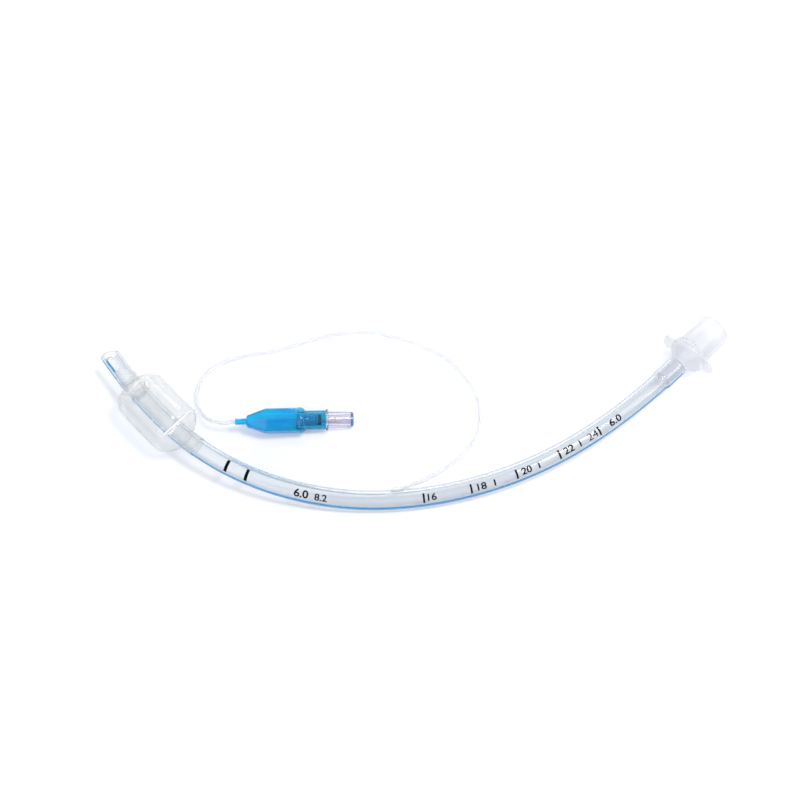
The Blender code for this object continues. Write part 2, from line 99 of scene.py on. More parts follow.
def clearMaterial(name, colour, edgeTintAndShade, edgePower, ior, roughness, clear, shadowFlat,
                  shadowSlant, streakColour=None, streak=2.0, stretch=(1, 1, 1), space="Object",
                  streakDepth=0.0, glow=0.0):
    # Clear plastic that bends light, with a little milk in it. Its colour turns to the edge colour
    # where it is seen edge on. Part of that is the longer path through it, and part is painted
    # shade for the shadowed table seen through its edges. Light on its way to the table or into the
    # wall goes straight through, dimmed more where it meets the wall at a slant.
    material, tree = startMaterial(name)
    streaks = grain(tree, streak, stretch, space=space)
    bump = addNode(tree, "Bump", {"Distance": streakDepth * mm, "Height": streaks})
    facing = addNode(tree, "LayerWeight").outputs["Facing"]
    # Painted shade: edgeTintAndShade is mixed into the colour by how edge-on the surface is seen
    edge = addNode(tree, "Math", {0: facing, 1: edgePower}, operation="POWER")
    drawn = addNode(tree, "MapRange", {"From Min": 0.35, "From Max": 0.65, "Value": streaks})
    middle = addNode(tree, "MixRGB", {
        "Color1": toLinear(colour), "Color2": toLinear(streakColour or colour), "Fac": drawn})
    shown = addNode(tree, "MixRGB", {
        "Color1": middle, "Color2": toLinear(edgeTintAndShade), "Fac": edge})
    body = addNode(tree, "BsdfPrincipled", {
        "IOR": ior, "Roughness": roughness, "Transmission Weight": clear,
        "Subsurface Weight": glow, "Subsurface Scale": 1.0, "Subsurface Radius": (mm, mm, mm),
        "Base Color": shown, "Normal": bump})
    steep = addNode(tree, "Math", {0: facing, 1: 2.0}, operation="POWER")
    shade = addNode(tree, "MixRGB", {
        "Color1": toLinear(shadowFlat), "Color2": toLinear(shadowSlant), "Fac": steep})
    through = addNode(tree, "BsdfTransparent", {"Color": shade})
    mixed = addNode(tree, "MixShader", {0: rayIs(tree, "Shadow", "Diffuse"), 1: body, 2: through})
    addNode(tree, "OutputMaterial", {"Surface": mixed})
    return material


def filmMaterial(name, tint, colour, cloud, hazeFlat, hazeSlant, shadowShare, roughness, shine,
                 coat, coatRoughness, bumpDepth=0.0, glow=0.0, glowDepth=1.0):
    # Thin film or milky plastic. It tints what lies behind it, has a shine of its own, and
    # turns less clear where it is seen at a slant. Part of the lamp's light soaks through.
    material, tree = startMaterial(name)
    clouds = grain(tree, cloud, detail=2.0)
    facing = addNode(tree, "LayerWeight").outputs["Facing"]
    haze = addNode(tree, "MapRange", {"To Min": hazeFlat, "To Max": hazeSlant, "Value": facing})
    uneven = addNode(tree, "MapRange", {"To Min": 0.88, "To Max": 1.12, "Value": clouds})
    kept = addNode(tree, "MapRange", {
        "To Min": 1.0, "To Max": shadowShare, "Value": rayIs(tree, "Shadow")})
    amount = addNode(tree, "Math", {0: haze, 1: uneven}, operation="MULTIPLY")
    amount = addNode(tree, "Math", {0: amount, 1: kept}, operation="MULTIPLY", use_clamp=True)
    clear = addNode(tree, "BsdfTransparent", {"Color": toLinear(tint)})
    bump = addNode(tree, "Bump", {"Distance": bumpDepth * mm, "Height": clouds})
    skin = addNode(tree, "BsdfPrincipled", {
        "Base Color": toLinear(colour), "Roughness": roughness, "Specular IOR Level": shine,
        "Coat Weight": coat, "Coat Roughness": coatRoughness, "Subsurface Weight": glow,
        "Subsurface Radius": (glowDepth * mm,) * 3, "Subsurface Scale": 1.0, "Normal": bump})
    mixed = addNode(tree, "MixShader", {0: amount, 1: clear, 2: skin})
    addNode(tree, "OutputMaterial", {"Surface": mixed})
    return material


def solidMaterial(name, colour, colourTwo, patch, roughness, bumpDepth=0.0, metallic=0.0,
                  shine=0.5, glow=0.0, glowDepth=1.0):
    # A plastic, rubber, ink or wire that can't be seen through
    material, tree = startMaterial(name)
    cloud = grain(tree, patch)
    colours = addNode(tree, "MixRGB", {
        "Color1": toLinear(colour), "Color2": toLinear(colourTwo), "Fac": cloud})
    rough = addNode(tree, "MapRange", {
        "To Min": roughness - 0.05, "To Max": roughness + 0.05, "Value": cloud})
    bump = addNode(tree, "Bump", {"Distance": bumpDepth * mm, "Height": cloud})
    body = addNode(tree, "BsdfPrincipled", {
        "Metallic": metallic, "Specular IOR Level": shine, "Subsurface Weight": glow,
        "Subsurface Radius": (glowDepth * mm,) * 3, "Subsurface Scale": 1.0,
        "Base Color": colours, "Roughness": rough, "Normal": bump})
    addNode(tree, "OutputMaterial", {"Surface": body})
    return material


# Soft PVC, extruded: clear with a faint blue-grey cast, and draw lines along its length. Its
# blue-grey edges are partly the longer path through the wall and partly painted shade for the
# table's shadow seen through the tube.
extrudedPvc = clearMaterial(
    "extrudedClearPvc", colour="#F6F8F9", edgeTintAndShade="#6E93AC", edgePower=1.6, ior=1.5,
    roughness=0.06, clear=1.0, streak=1.2, stretch=(60, 1, 1), space="UV", streakDepth=0.001,
    shadowFlat="#F6F7FA", shadowSlant="#8A94A2")
# The same PVC in a thin line: cloudier, near white with soft grey edges
extrudedLinePvc = filmMaterial(
    "extrudedLinePvc", tint="#FDFDFE", colour="#F1F3F7", cloud=30.0, hazeFlat=0.25,
    hazeSlant=0.55, shadowShare=0.4, roughness=0.3, shine=0.5, coat=0.6, coatRoughness=0.15,
    glow=0.6, glowDepth=0.6)
# Clear styrene, injection moulded: glassy with a lavender cast
mouldedStyrene = clearMaterial(
    "mouldedClearStyrene", colour="#F0EEFA", edgeTintAndShade="#A7A3CC", edgePower=2.5, ior=1.45,
    roughness=0.05, clear=0.97, streakDepth=0.002, shadowFlat="#EEEDF8", shadowSlant="#A8A6C0")
# Barium-filled PVC, extruded into the wall: an even medium blue that X-rays show
blueBariumPvc = solidMaterial(
    "extrudedBlueBariumPvc", "#06B6FA", "#10BCFE", patch=3.0, roughness=0.5, glow=0.5,
    glowDepth=0.4)
# Pad-printed ink: near black, flat and slightly uneven
printedInk = solidMaterial(
    "padPrintedBlackInk", "#010101", "#050506", patch=0.6, roughness=0.8, bumpDepth=0.002,
    shine=0.05)
# PVC film blown into a cuff: milky haze, with a soft shine on its folds
cuffFilm = clearMaterial(
    "blownCuffFilm", colour="#FEFEFD", edgeTintAndShade="#EEF0F2", edgePower=2.5, ior=1.36,
    roughness=0.12, clear=0.88, streak=5.0, streakDepth=0.04, shadowFlat="#FAFBFC",
    shadowSlant="#DFE2E9")
# The cuff's folds: white, near-opaque film, a painted highlight where the folds catch the
# light. A little of the whiteness is the film lying double.
foldHighlightFilm = filmMaterial(
    "cuffFoldHighlightFilm", tint="#FFFFFF", colour="#FFFFFF", cloud=2.0, hazeFlat=0.75,
    hazeSlant=0.35, shadowShare=0.15, roughness=0.25, shine=0.8, coat=1.0, coatRoughness=0.1)
# Blue PVC film, blown: deep where it overlaps itself, bright where the table shows through
balloonFilm = clearMaterial(
    "blownBluePvc", colour="#1CF0FF", streakColour="#0CC6FF", edgeTintAndShade="#0896EA",
    edgePower=2.2, ior=1.38, roughness=0.08, clear=0.88, streak=2.2, stretch=(8, 1, 1),
    space="UV", streakDepth=0.03, shadowFlat="#6CD4EE", shadowSlant="#3A90B8", glow=1.0)
# The same film where it is stretched over the valve: thinner, clear and glossy
sleeveFilm = clearMaterial(
    "stretchedBluePvc", colour="#10DCF2", edgeTintAndShade="#0A88CA", edgePower=2.0, ior=1.45,
    roughness=0.03, clear=1.0, streak=2.2, stretch=(8, 1, 1), space="UV",
    shadowFlat="#6CD4EE", shadowSlant="#3A90B8")
# Natural polypropylene, injection moulded: milky, and light soaks into it
mouldedPolypropylene = filmMaterial(
    "mouldedPolypropylene", tint="#FBFBFC", colour="#EBECF1", cloud=8.0, hazeFlat=0.22,
    hazeSlant=0.6, shadowShare=0.5, roughness=0.3, shine=0.5, coat=1.0, coatRoughness=0.14,
    bumpDepth=0.01, glow=1.0, glowDepth=2.0)
# Silicone rubber: flat black
siliconeRubber = solidMaterial(
    "mouldedSiliconeRubber", "#0B0C10", "#14161B", patch=0.8, roughness=0.55, bumpDepth=0.004)
# Acetal, moulded: cream, smooth and a little waxy
mouldedAcetal = solidMaterial(
    "mouldedAcetal", "#F6EEDC", "#EFE4CC", patch=1.5, roughness=0.38, bumpDepth=0.004,
    glow=0.3, glowDepth=0.8)
# Polypropylene ring: plain white
whitePolypropylene = solidMaterial(
    "whitePolypropylene", "#E4E7EA", "#DCE0E4", patch=1.5, roughness=0.4, bumpDepth=0.004)
# Stainless spring wire, drawn, with a fine grain. Its white, half-diffuse colour is brighter
# than steel: a painted sheen that stands in for the glints on its coils.
drawnSteel = solidMaterial(
    "drawnStainlessWire", "#FFFFFF", "#F2F4F6", patch=0.3, roughness=0.3, metallic=0.5)
# Ultraviolet-cured adhesive: a small clear bead with a bright, uneven skin
curedAdhesive = filmMaterial(
    "curedAdhesive", tint="#FBFBFD", colour="#FBFBFD", cloud=0.8, hazeFlat=0.5, hazeSlant=0.7,
    shadowShare=0.2, roughness=0.15, shine=1.0, coat=1.0, coatRoughness=0.05, bumpDepth=0.15,
    glow=0.5, glowDepth=0.6)
# A flat, opaque blue ring just inside the valve's mouth
blueBand = solidMaterial("blueMouthRing", "#3A76B4", "#4682BE", patch=0.8, roughness=0.3)
print("materials ready")


# Mesh helpers

def addObject(name, data):
    piece = bpy.data.objects.new(name, data)
    scene.collection.objects.link(piece)
    return piece


def evaluatedMesh(piece):
    # The mesh that a text or a modifier comes to
    bpy.context.view_layer.update()
    graph = bpy.context.evaluated_depsgraph_get()
    return bpy.data.meshes.new_from_object(piece.evaluated_get(graph))


def pointsAndFaces(bm):
    points = np.array([v.co for v in bm.verts])
    faces = [[v.index for v in f.verts] for f in bm.faces]
    bm.free()
    return points, faces


def makeObject(name, verts, faces, material, node=None, uvs=None, sharp=35, flip=False,
               body=root):
    # A smooth-shaded mesh piece from points in millimetres, and the CAD node it stands for
    mesh = bpy.data.meshes.new(name)
    if flip:
        faces = [face[::-1] for face in faces]
    mesh.from_pydata((np.reshape(verts, (-1, 3)) * mm).tolist(), [],
                     [tuple(map(int, face)) for face in faces])
    mesh.update()
    if uvs is not None:
        layer = mesh.uv_layers.new(name="along")
        index = np.zeros(len(mesh.loops), int)
        mesh.loops.foreach_get("vertex_index", index)
        layer.data.foreach_set("uv", np.asarray(uvs)[index].ravel())
    mesh.shade_smooth()
    mesh.set_sharp_from_angle(angle=math.radians(sharp))
    mesh.materials.append(material)
    piece = addObject(name, mesh)
    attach(piece, body)
    if node:
        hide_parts(node)
    return piece


def summed(steps):
    return np.concatenate([[0], np.cumsum(steps)])


def fullTurn(count):
    # Evenly spaced angles all the way round
    return np.linspace(0, 2 * np.pi, count, endpoint=False)


def unit(vectors):
    return vectors / np.linalg.norm(vectors, axis=-1, keepdims=True)


def wrapped(angle):
    # The same angle, from minus to plus half a turn
    return (angle + np.pi) % (2 * np.pi) - np.pi


def rings(centre, across, up, count):
    # Rings of points round a line, that reach as far as across and up do at each of its points
    turn = fullTurn(count)[None, :, None]
    across, up = (np.broadcast_to(way, centre.shape)[:, None] for way in (across, up))
    return centre[:, None] + np.cos(turn) * across + np.sin(turn) * up


def placed(points, place):
    # Points in a piece's own frame, moved into the scene's
    return points.reshape(-1, 3) @ np.array(place.to_3x3()).T + np.array(place.translation)


def rimEdges(faces):
    # The edges that only one of these faces has, in that face's direction
    edges = {(a, b): True for face in faces for a, b in zip(face, face[1:] + face[:1])}
    return [(a, b) for a, b in edges if (b, a) not in edges]


def gridFaces(rows, columns, closedRows, start=0):
    # Quads over a grid of points that closes on itself across its columns
    i, j = np.meshgrid(np.arange(rows if closedRows else rows - 1), np.arange(columns),
                       indexing="ij")
    ahead, beside = (i + 1) % rows, (j + 1) % columns
    quads = np.stack([i * columns + j, i * columns + beside, ahead * columns + beside,
                      ahead * columns + j], axis=-1)
    return (quads.reshape(-1, 4) + start).tolist()


def cappedFaces(rows, columns, start=0):
    # Quads over rings along an open line, and a face that closes each end
    ends = [range(columns)[::-1], range((rows - 1) * columns, rows * columns)]
    return gridFaces(rows, columns, False, start) + [[v + start for v in e] for e in ends]


def turned(name, profile, material, place, node=None, sides=96, sharp=35, body=root):
    # A closed profile of (distance, radius) points spun round the X axis of place
    profile = np.array(profile)
    angles = fullTurn(sides)
    points = np.stack([np.repeat(profile[:, :1], sides, axis=1),
                       profile[:, 1:] * np.cos(angles), profile[:, 1:] * np.sin(angles)], axis=-1)
    around = profile[:, 1].max() * np.minimum(angles, 2 * np.pi - angles)
    uvs = np.stack([np.repeat(profile[:, 0], sides), np.tile(around, len(profile))], axis=-1)
    return makeObject(name, placed(points, place), gridFaces(len(profile), sides, True), material,
                      node, uvs=uvs, sharp=sharp, body=body)


def rounded(profile, radius, steps=3):
    # A closed profile whose corners are cut back and rounded
    points = [Vector(p) for p in profile]
    out = []
    for before, corner, after in zip([points[-1]] + points[:-1], points, points[1:] + points[:1]):
        back, ahead = before - corner, after - corner
        reach = min(radius, back.length * 0.45, ahead.length * 0.45)
        if back.length < 1e-6 or ahead.length < 1e-6 or abs(back.angle(ahead) - math.pi) < 0.3:
            out.append(tuple(corner))
            continue
        first, last = corner + back.normalized() * reach, corner + ahead.normalized() * reach
        for t in np.linspace(0, 1, steps + 1):
            out.append(tuple((1 - t) ** 2 * first + 2 * t * (1 - t) * corner + t ** 2 * last))
    return out


def smoothStep(place, start=0.0, end=1.0):
    t = np.clip((place - start) / (end - start), 0.0, 1.0)
    return t * t * (3 - 2 * t)


# Tube

tube = {
    "length": 289.3, "bore": 3.0, "outer": 4.1,
    "end": (79.1, -83.8),       # the machine end, seen from above
    # where the bend is given, as shares of the length, and how many turns a length it has
    "bendAt": (0, 0.07, 0.14, 0.21, 0.28, 0.35, 0.42, 0.49, 0.63, 0.77, 0.91, 1.0),
    "bend": (1.51, 1.16, 1.39, 3.10, 2.88, 2.34, 1.80, 1.86, 1.75, 1.78, 1.05, 0.96),
    "cuffHeight": 11.5, "endHeight": 8.8, "riseFrom": 140.0, "riseTo": 279.5,
    "slant": 1.8, "slantSide": 200.0, "slantFade": 7.0,
    "stretchFrom": 277.5, "stretchTo": 279.5, "stretch": 0.45,
    # rows of points are close together near the tip and where the spigot stretches the tube
    "sides": 72, "fineTo": 14.0, "fineStep": 0.4, "step": 1.6, "lastFine": 14.0, "lastRows": 28,
    "eyeAt": 7.4, "eyeLength": 8.4, "eyeWidth": 3.0, "eyeFacing": 120.0,
    "channelRadius": 0.32, "channelAt": 3.55, "channelFrom": 37.5, "channelTo": 146.0,
    "stripeAt": 199.0, "stripeWidth": 1.7, "stripeFrom": 3.5, "stripeTo": 4.02,
}
cuff = {
    "centre": 37.0, "length": 30.6, "radius": 11.5, "shoulder": 5.0, "tuckTip": 3.2,
    "collarTip": 7.6, "collarMachine": 9.4, "wall": 0.12, "seat": 4.32, "sides": 144,
    "rimHeight": 0.55, "rimAngle": 42.0,
    # the end face at the machine side: beyond the film's end, and above the tube
    "cone": ((0.0, 4.5), (1.0, 3.3), (2.0, 1.9), (2.8, 0.8), (3.5, 0.2), (4.0, 0.0)),
    # dents in the film: distance from the tip, angle, half length, half width, depth
    "dents": ((51.6, 122, 0.9, 2.0, 0.6), (43.5, 128, 1.6, 0.8, 0.25), (26.5, 138, 2.4, 0.9, 0.35),
              (49.8, 165, 1.2, 1.2, 0.4), (47.0, 172, 2.6, 0.8, 0.25), (50.8, 190, 1.2, 1.4, 0.35),
              (28.0, 100, 1.2, 2.6, 0.2), (30.0, 60, 3.0, 0.9, 0.15)),
    # folds, drawn as thin white ridges that paint their highlights: half thickness, then points
    # along each fold
    "foldHighlights": (
        (0.28, ((49.6, 11.0, 18), (50.3, 10.6, 40), (51.2, 9.9, 65), (51.5, 9.3, 90),
                (51.3, 9.6, 112), (50.6, 10.3, 136), (50.0, 10.7, 150))),
        (0.2, ((51.6, 9.3, 96), (52.2, 8.6, 112), (51.9, 8.9, 124), (50.9, 9.9, 134))),
        (0.14, ((25.0, 11.1, 40), (29.0, 11.42, 32), (38.0, 11.45, 31), (46.5, 11.42, 32),
                (49.0, 11.2, 30))),
        (0.13, ((27.0, 11.4, 172), (33.0, 11.45, 184), (40.0, 11.45, 190), (47.0, 11.4, 192),
                (50.2, 10.6, 190))),
        (0.17, ((24.6, 11.0, 40), (25.4, 11.25, 70), (26.2, 11.3, 95), (27.0, 11.2, 118),
                (26.0, 11.2, 128))),
        (0.12, ((23.6, 10.6, 136), (26.0, 11.2, 146), (29.0, 11.35, 156), (33.0, 11.4, 160))),
        (0.1, ((43.0, 11.3, 120), (43.8, 11.2, 132), (43.4, 11.3, 144))),
        (0.12, ((47.0, 11.35, 168), (49.4, 10.9, 172), (51.0, 9.8, 184), (50.4, 10.4, 196)))),
}


def centreLine():
    # The tube's line from above: headings and points at small steps from the tip
    s = np.linspace(0, tube["length"], 1161)
    turn = np.interp(s / tube["length"], tube["bendAt"], tube["bend"]) / tube["length"]
    swept = summed((turn[1:] + turn[:-1]) / 2 * np.diff(s))
    heading = swept - swept[-1]
    middle = (heading[1:] + heading[:-1]) / 2
    x = summed(np.cos(middle) * np.diff(s))
    y = summed(np.sin(middle) * np.diff(s))
    return s, heading, x - x[-1] + tube["end"][0], y - y[-1] + tube["end"][1]


lineS, lineHeading, lineX, lineY = centreLine()


def centreAt(s):
    # The tube's centre, the way to the inside of the bend, and the way up, at distances s
    s = np.asarray(s, float)
    sink = smoothStep(s, cuff["centre"] + cuff["length"] / 2, tube["riseFrom"])
    rise = smoothStep(s, tube["riseFrom"], tube["riseTo"])
    z = (tube["cuffHeight"] + (tube["outer"] - tube["cuffHeight"]) * sink
         + (tube["endHeight"] - tube["outer"]) * rise)
    heading = np.interp(s, lineS, lineHeading)
    centre = np.stack([np.interp(s, lineS, lineX), np.interp(s, lineS, lineY), z], axis=-1)
    side = np.stack([-np.sin(heading), np.cos(heading), 0 * s], axis=-1)
    return centre, side, np.array([0.0, 0.0, 1.0])


def tubePoints(s, radius, angle):
    # Points round the tube: angle 0 faces the inside of the bend, 90 degrees is up
    s, radius, angle = np.broadcast_arrays(s, radius, angle)
    centre, side, up = centreAt(s)
    return centre + radius[..., None] * (np.cos(angle)[..., None] * side
                                         + np.sin(angle)[..., None] * up)


def onSlot(along, across, length, width):
    # How far points lie outside a slot with round ends, and their nearest edge points
    middle = np.clip(along, -(length - width) / 2, (length - width) / 2)
    away = np.hypot(along - middle, across)
    scale = (width / 2) / np.maximum(away, 1e-6)
    return away - width / 2, middle + (along - middle) * scale, across * scale


def widening(s):
    # How much the tube is stretched where it is pushed over the connector's spigot
    return tube["stretch"] * smoothStep(s, tube["stretchFrom"], tube["stretchTo"])


def slanted(s, angle):
    # Distances along the tube, moved by the tip's slant, which fades out after it
    lean = tube["slant"] * (1 - np.cos(angle - math.radians(tube["slantSide"]))) / 2
    return s + lean * (1 - smoothStep(s / tube["slantFade"]))


def makeTube():
    sides, end, wide, bore = tube["sides"], tube["length"], tube["outer"], tube["bore"]
    wall = (wide - bore) / 2
    fine = np.arange(wall + tube["fineStep"], tube["fineTo"], tube["fineStep"])
    lastFrom = end - tube["lastFine"]
    coarse = np.arange(tube["fineTo"], lastFrom, tube["step"])
    last = np.linspace(lastFrom, end - 0.15, tube["lastRows"])
    places = np.concatenate([fine, coarse, last])
    tip = [(wall - wall * math.sin(a), bore + wall + wall * math.cos(a))
           for a in np.linspace(0, math.pi, 9)]
    endRim = [(end, bore + tube["stretch"] + 0.12), (end, wide + tube["stretch"] - 0.12)]
    outer = [(s, wide + widening(s)) for s in places]
    inner = [(s, bore + widening(s)) for s in places]
    profile = np.array(tip[::-1] + outer + endRim[::-1] + inner[::-1])
    rows = len(profile)

    # The side eye: grid points near its edge move onto it, and the faces inside it go
    middle = math.radians(tube["eyeFacing"])
    meanRadius = (wide + bore) / 2
    quads = np.array(gridFaces(rows, sides, True))
    flat = np.stack([np.repeat(profile[:, 0], sides), np.tile(fullTurn(sides), rows)], axis=-1)
    along = flat[:, 0] - tube["eyeAt"]
    across = wrapped(flat[:, 1] - middle) * meanRadius
    radii = np.repeat(profile[:, 1], sides)
    isWall = (np.abs(radii - wide) < 0.01) | (np.abs(radii - bore) < 0.01)
    away, edgeAlong, edgeAcross = onSlot(along, across, tube["eyeLength"], tube["eyeWidth"])
    inside = (away[quads].mean(axis=1) < 0) & isWall[quads].all(axis=1)
    edgePoints = np.intersect1d(quads[inside], quads[~inside])
    flat[edgePoints, 0] = edgeAlong[edgePoints] + tube["eyeAt"]
    flat[edgePoints, 1] = edgeAcross[edgePoints] / meanRadius + middle
    s = slanted(flat[:, 0], flat[:, 1])
    verts = tubePoints(s, radii, flat[:, 1])
    uvs = np.stack([s, flat[:, 1] * wide], axis=-1)

    # Walls of the eye, between its outer and its inner edge
    kept = quads[~inside].tolist()
    twinRows = 2 * (len(tip) + len(outer)) + len(endRim) - 1  # a row and its twin add up to this
    for a, b in rimEdges(quads[inside].tolist()):
        if max(a, b) < (len(tip) + len(outer)) * sides:
            twinA, twinB = ((twinRows - v // sides) * sides + v % sides for v in (a, b))
            kept.append([a, b, twinB, twinA])

    # The inflation channel is a closed hollow in the wall, so its faces look inwards
    channel = np.arange(tube["channelFrom"], tube["channelTo"], tube["step"])
    centre, side, up = centreAt(channel)
    radius = tube["channelRadius"]
    tunnel = rings(centre + side * tube["channelAt"], side * radius, up * radius, 12)
    hollow = [face[::-1] for face in cappedFaces(len(channel), 12, len(verts))]
    verts = np.concatenate([verts, tunnel.reshape(-1, 3)])
    uvs = np.concatenate([uvs, np.zeros((len(channel) * 12, 2))])
    makeObject("clearTube", verts, kept + hollow, extrudedPvc, "tube", uvs=uvs,
               sharp=50)


def makeStripe():
    # The blue line in the wall on the outside of the bend
    end, facing = tube["length"], math.radians(tube["stripeAt"])
    s = np.concatenate([np.arange(1.0, end - 12, tube["step"]),
                        np.linspace(end - 12, end - 0.4, 16)])
    middle = (tube["stripeFrom"] + tube["stripeTo"]) / 2
    halfDeep = (tube["stripeTo"] - tube["stripeFrom"]) / 2
    turn = fullTurn(16)
    radius = middle + halfDeep * np.sin(turn) + widening(s)[:, None]
    angle = facing + tube["stripeWidth"] / 2 * np.cos(turn) / middle
    makeObject("radiopaqueLine", tubePoints(slanted(s, facing)[:, None], radius, angle),
               cappedFaces(len(s), len(turn)), blueBariumPvc, flip=True)


# Print on the tube

ink = {
    "lift": 0.02, "thick": 0.02, "ring": (1.3, 5.3), "rings": ((77.8, 116), (86.8, 116)),
    "longTick": (0.8, 4.2), "shortTick": (0.68, 2.7),
    # marks: distance from the tip, and the way they face
    "long": ((160.7, 124), (180.6, 124), (200.5, 123), (220.4, 120), (240.5, 119)),
    "short": ((190.7, 125), (210.6, 122), (230.5, 121)),
    # figures: where they start and end along the tube, height, extra weight, the way they face
    "figures": (("6.0", 107.3, 113.2, 3.5, 0.022, 122), ("8.2", 115.8, 120.9, 3.0, 0.02, 126),
                ("16", 162.3, 166.0, 3.0, 0.02, 122), ("18", 183.2, 187.1, 3.0, 0.02, 124),
                ("20", 202.7, 207.2, 3.0, 0.02, 120), ("22", 222.6, 227.3, 3.0, 0.02, 118),
                ("24", 234.5, 239.4, 3.0, 0.0, 119), ("6.0", 246.0, 252.0, 3.0, 0.02, 119)),
}


def printPatch(name, bm, facing):
    # Lays flat artwork, in millimetres, round the tube: x runs along it and y round it
    longest = 0.45
    for _ in range(6):
        edges = [e for e in bm.edges if e.calc_length() > longest]
        if not edges:
            break
        bmesh.ops.subdivide_edges(bm, edges=edges, cuts=1)
        bmesh.ops.triangulate(bm, faces=bm.faces)
    flat, faces = pointsAndFaces(bm)
    angle = math.radians(facing) - flat[:, 1] / tube["outer"]
    layers = [tubePoints(flat[:, 0], tube["outer"] + lift, angle)
              for lift in (ink["lift"], ink["lift"] + ink["thick"])]
    count = len(flat)
    walls = [[a, b, b + count, a + count] for a, b in rimEdges(faces)]
    both = [f[::-1] for f in faces] + [[v + count for v in f] for f in faces] + walls
    makeObject(name, layers, both, printedInk, sharp=60)


def flatBox(x, width, height):
    bm = bmesh.new()
    corners = ((-0.5, -0.5), (0.5, -0.5), (0.5, 0.5), (-0.5, 0.5))
    bm.faces.new([bm.verts.new((x + a * width, b * height, 0)) for a, b in corners])
    bm.verts.index_update()
    return bm


def flatText(text, start, end, height, weight):
    # Figures with Blender's own font, scaled so that they fill this length and height
    curve = bpy.data.curves.new("figures", "FONT")
    curve.body, curve.offset = text, weight
    holder = addObject("figures", curve)
    mesh = evaluatedMesh(holder)
    bm = bmesh.new()
    bm.from_mesh(mesh)
    bpy.data.objects.remove(holder)
    bpy.data.curves.remove(curve)
    bpy.data.meshes.remove(mesh)
    bmesh.ops.remove_doubles(bm, verts=bm.verts, dist=1e-4)
    low = [min(v.co[k] for v in bm.verts) for k in (0, 1)]
    high = [max(v.co[k] for v in bm.verts) for k in (0, 1)]
    wide, tall = (end - start) / (high[0] - low[0]), height / (high[1] - low[1])
    for v in bm.verts:
        v.co = ((v.co.x - low[0]) * wide + start, (v.co.y - (low[1] + high[1]) / 2) * tall, 0)
    for face in bm.faces:
        if face.normal.z < 0:
            face.normal_flip()
    bm.verts.index_update()
    return bm


def makePrint():
    for i, (s, facing) in enumerate(ink["rings"]):
        printPatch(f"depthRing{i + 1}", flatBox(s, *ink["ring"]), facing)
    for kind in ("long", "short"):
        for i, (s, facing) in enumerate(ink[kind]):
            printPatch(f"{kind}Mark{i + 1}", flatBox(s, *ink[kind + "Tick"]), facing)
    for i, (text, start, end, height, weight, facing) in enumerate(ink["figures"]):
        printPatch(f"figures{i + 1}", flatText(text, start, end, height, weight), facing)


# Cuff

def makeCuff():
    # Thin film: a collar on the tube at each end, an end folded deep under the tip shoulder, a
    # crisp rim round the end face at the machine side, and the dents and folds of blown film.
    # The folds are drawn as white ridges that paint the highlights they catch.
    start, end = cuff["centre"] - cuff["length"] / 2, cuff["centre"] + cuff["length"] / 2
    seat, bend, full, deep = cuff["seat"], cuff["shoulder"], cuff["radius"], cuff["tuckTip"]
    shoulder = [(bend - bend * math.cos(a), full - bend + bend * math.sin(a))
                for a in np.radians(np.linspace(0, 90, 11))]
    rim = math.radians(cuff["rimAngle"])
    rimAt = (end - bend + bend * math.cos(rim), full - bend + bend * math.sin(rim))
    tucked = start + deep
    path = [(start - cuff["collarTip"], seat), (tucked, seat), (tucked + 0.5, seat + 0.3),
            (tucked + 0.3, seat + 0.7), (start + 0.5 * deep, seat + 1.3), (start + 0.4, seat + 1.8)]
    path += [(start + u, r) for u, r in shoulder]
    path += [(end - u, r) for u, r in reversed(shoulder) if r > rimAt[1] + 0.1] + [rimAt]
    path += [(end + u, seat + r) for u, r in cuff["cone"]]
    path = np.array(path + [(end + cuff["collarMachine"], seat)])
    # Evenly spaced along the profile, so the folds have points to bend
    run = summed(np.hypot(*np.diff(path, axis=0).T))
    fineRun = np.linspace(0, run[-1], 190)
    fromRim = fineRun - run[np.hypot(*(path - np.array(rimAt)).T).argmin()]
    s, r = np.interp(fineRun, run, path[:, 0]), np.interp(fineRun, run, path[:, 1])
    angle = fullTurn(cuff["sides"])
    s, r, fromRim, angle = s[:, None], r[:, None], fromRim[:, None], angle[None, :]

    full01 = np.clip((r - seat) / (full - seat), 0, 1)
    ends = full01 * (1 - full01) * 4
    mid = (s - cuff["centre"]) / (cuff["length"] / 2)
    pleats = (np.sin(9 * angle + 1.1 + 0.5 * np.sin(3 * angle)) * 0.5
              + np.sin(14 * angle + 2.3) * 0.25) * ends * np.where(mid < 0, 1.0, 0.5)
    flats = 0.2 * np.sin(5 * angle + 0.8) * full01 + 0.1 * np.sin(8 * angle - 1.0 + mid) * full01
    shown = 0.5 + 0.5 * np.cos(angle - math.radians(85))
    ridge = cuff["rimHeight"] * (np.exp(-(fromRim / 0.3) ** 2)
                                 - 0.5 * np.exp(-((fromRim - 0.9) / 0.5) ** 2)) * shown
    radius = r + (0.3 * pleats + flats) * (full01 > 0.02) + ridge
    for at, facing, long, wide, depth in cuff["dents"]:
        turn = wrapped(angle - math.radians(facing))
        fades = np.exp(-((s - at) / long) ** 2 - (turn * r / wide) ** 2)
        radius = radius - depth * fades * (full01 > 0.3)
    radius = np.minimum(radius, full - 0.02)
    outer = tubePoints(s + 0 * angle, radius, angle + 0 * s)
    inner = tubePoints(s + 0 * angle, radius - cuff["wall"], angle + 0 * s)
    points = np.concatenate([outer, inner[::-1]])
    makeObject("blownCuff", points, gridFaces(len(points), cuff["sides"], True), cuffFilm,
               "cuff", sharp=60)
    # Each fold is a white ridge of film: a painted highlight along the fold
    for i, (thick, fold) in enumerate(cuff["foldHighlights"]):
        makeFoldHighlight(f"filmFoldHighlight{i + 1}", thick, np.array(fold, float))


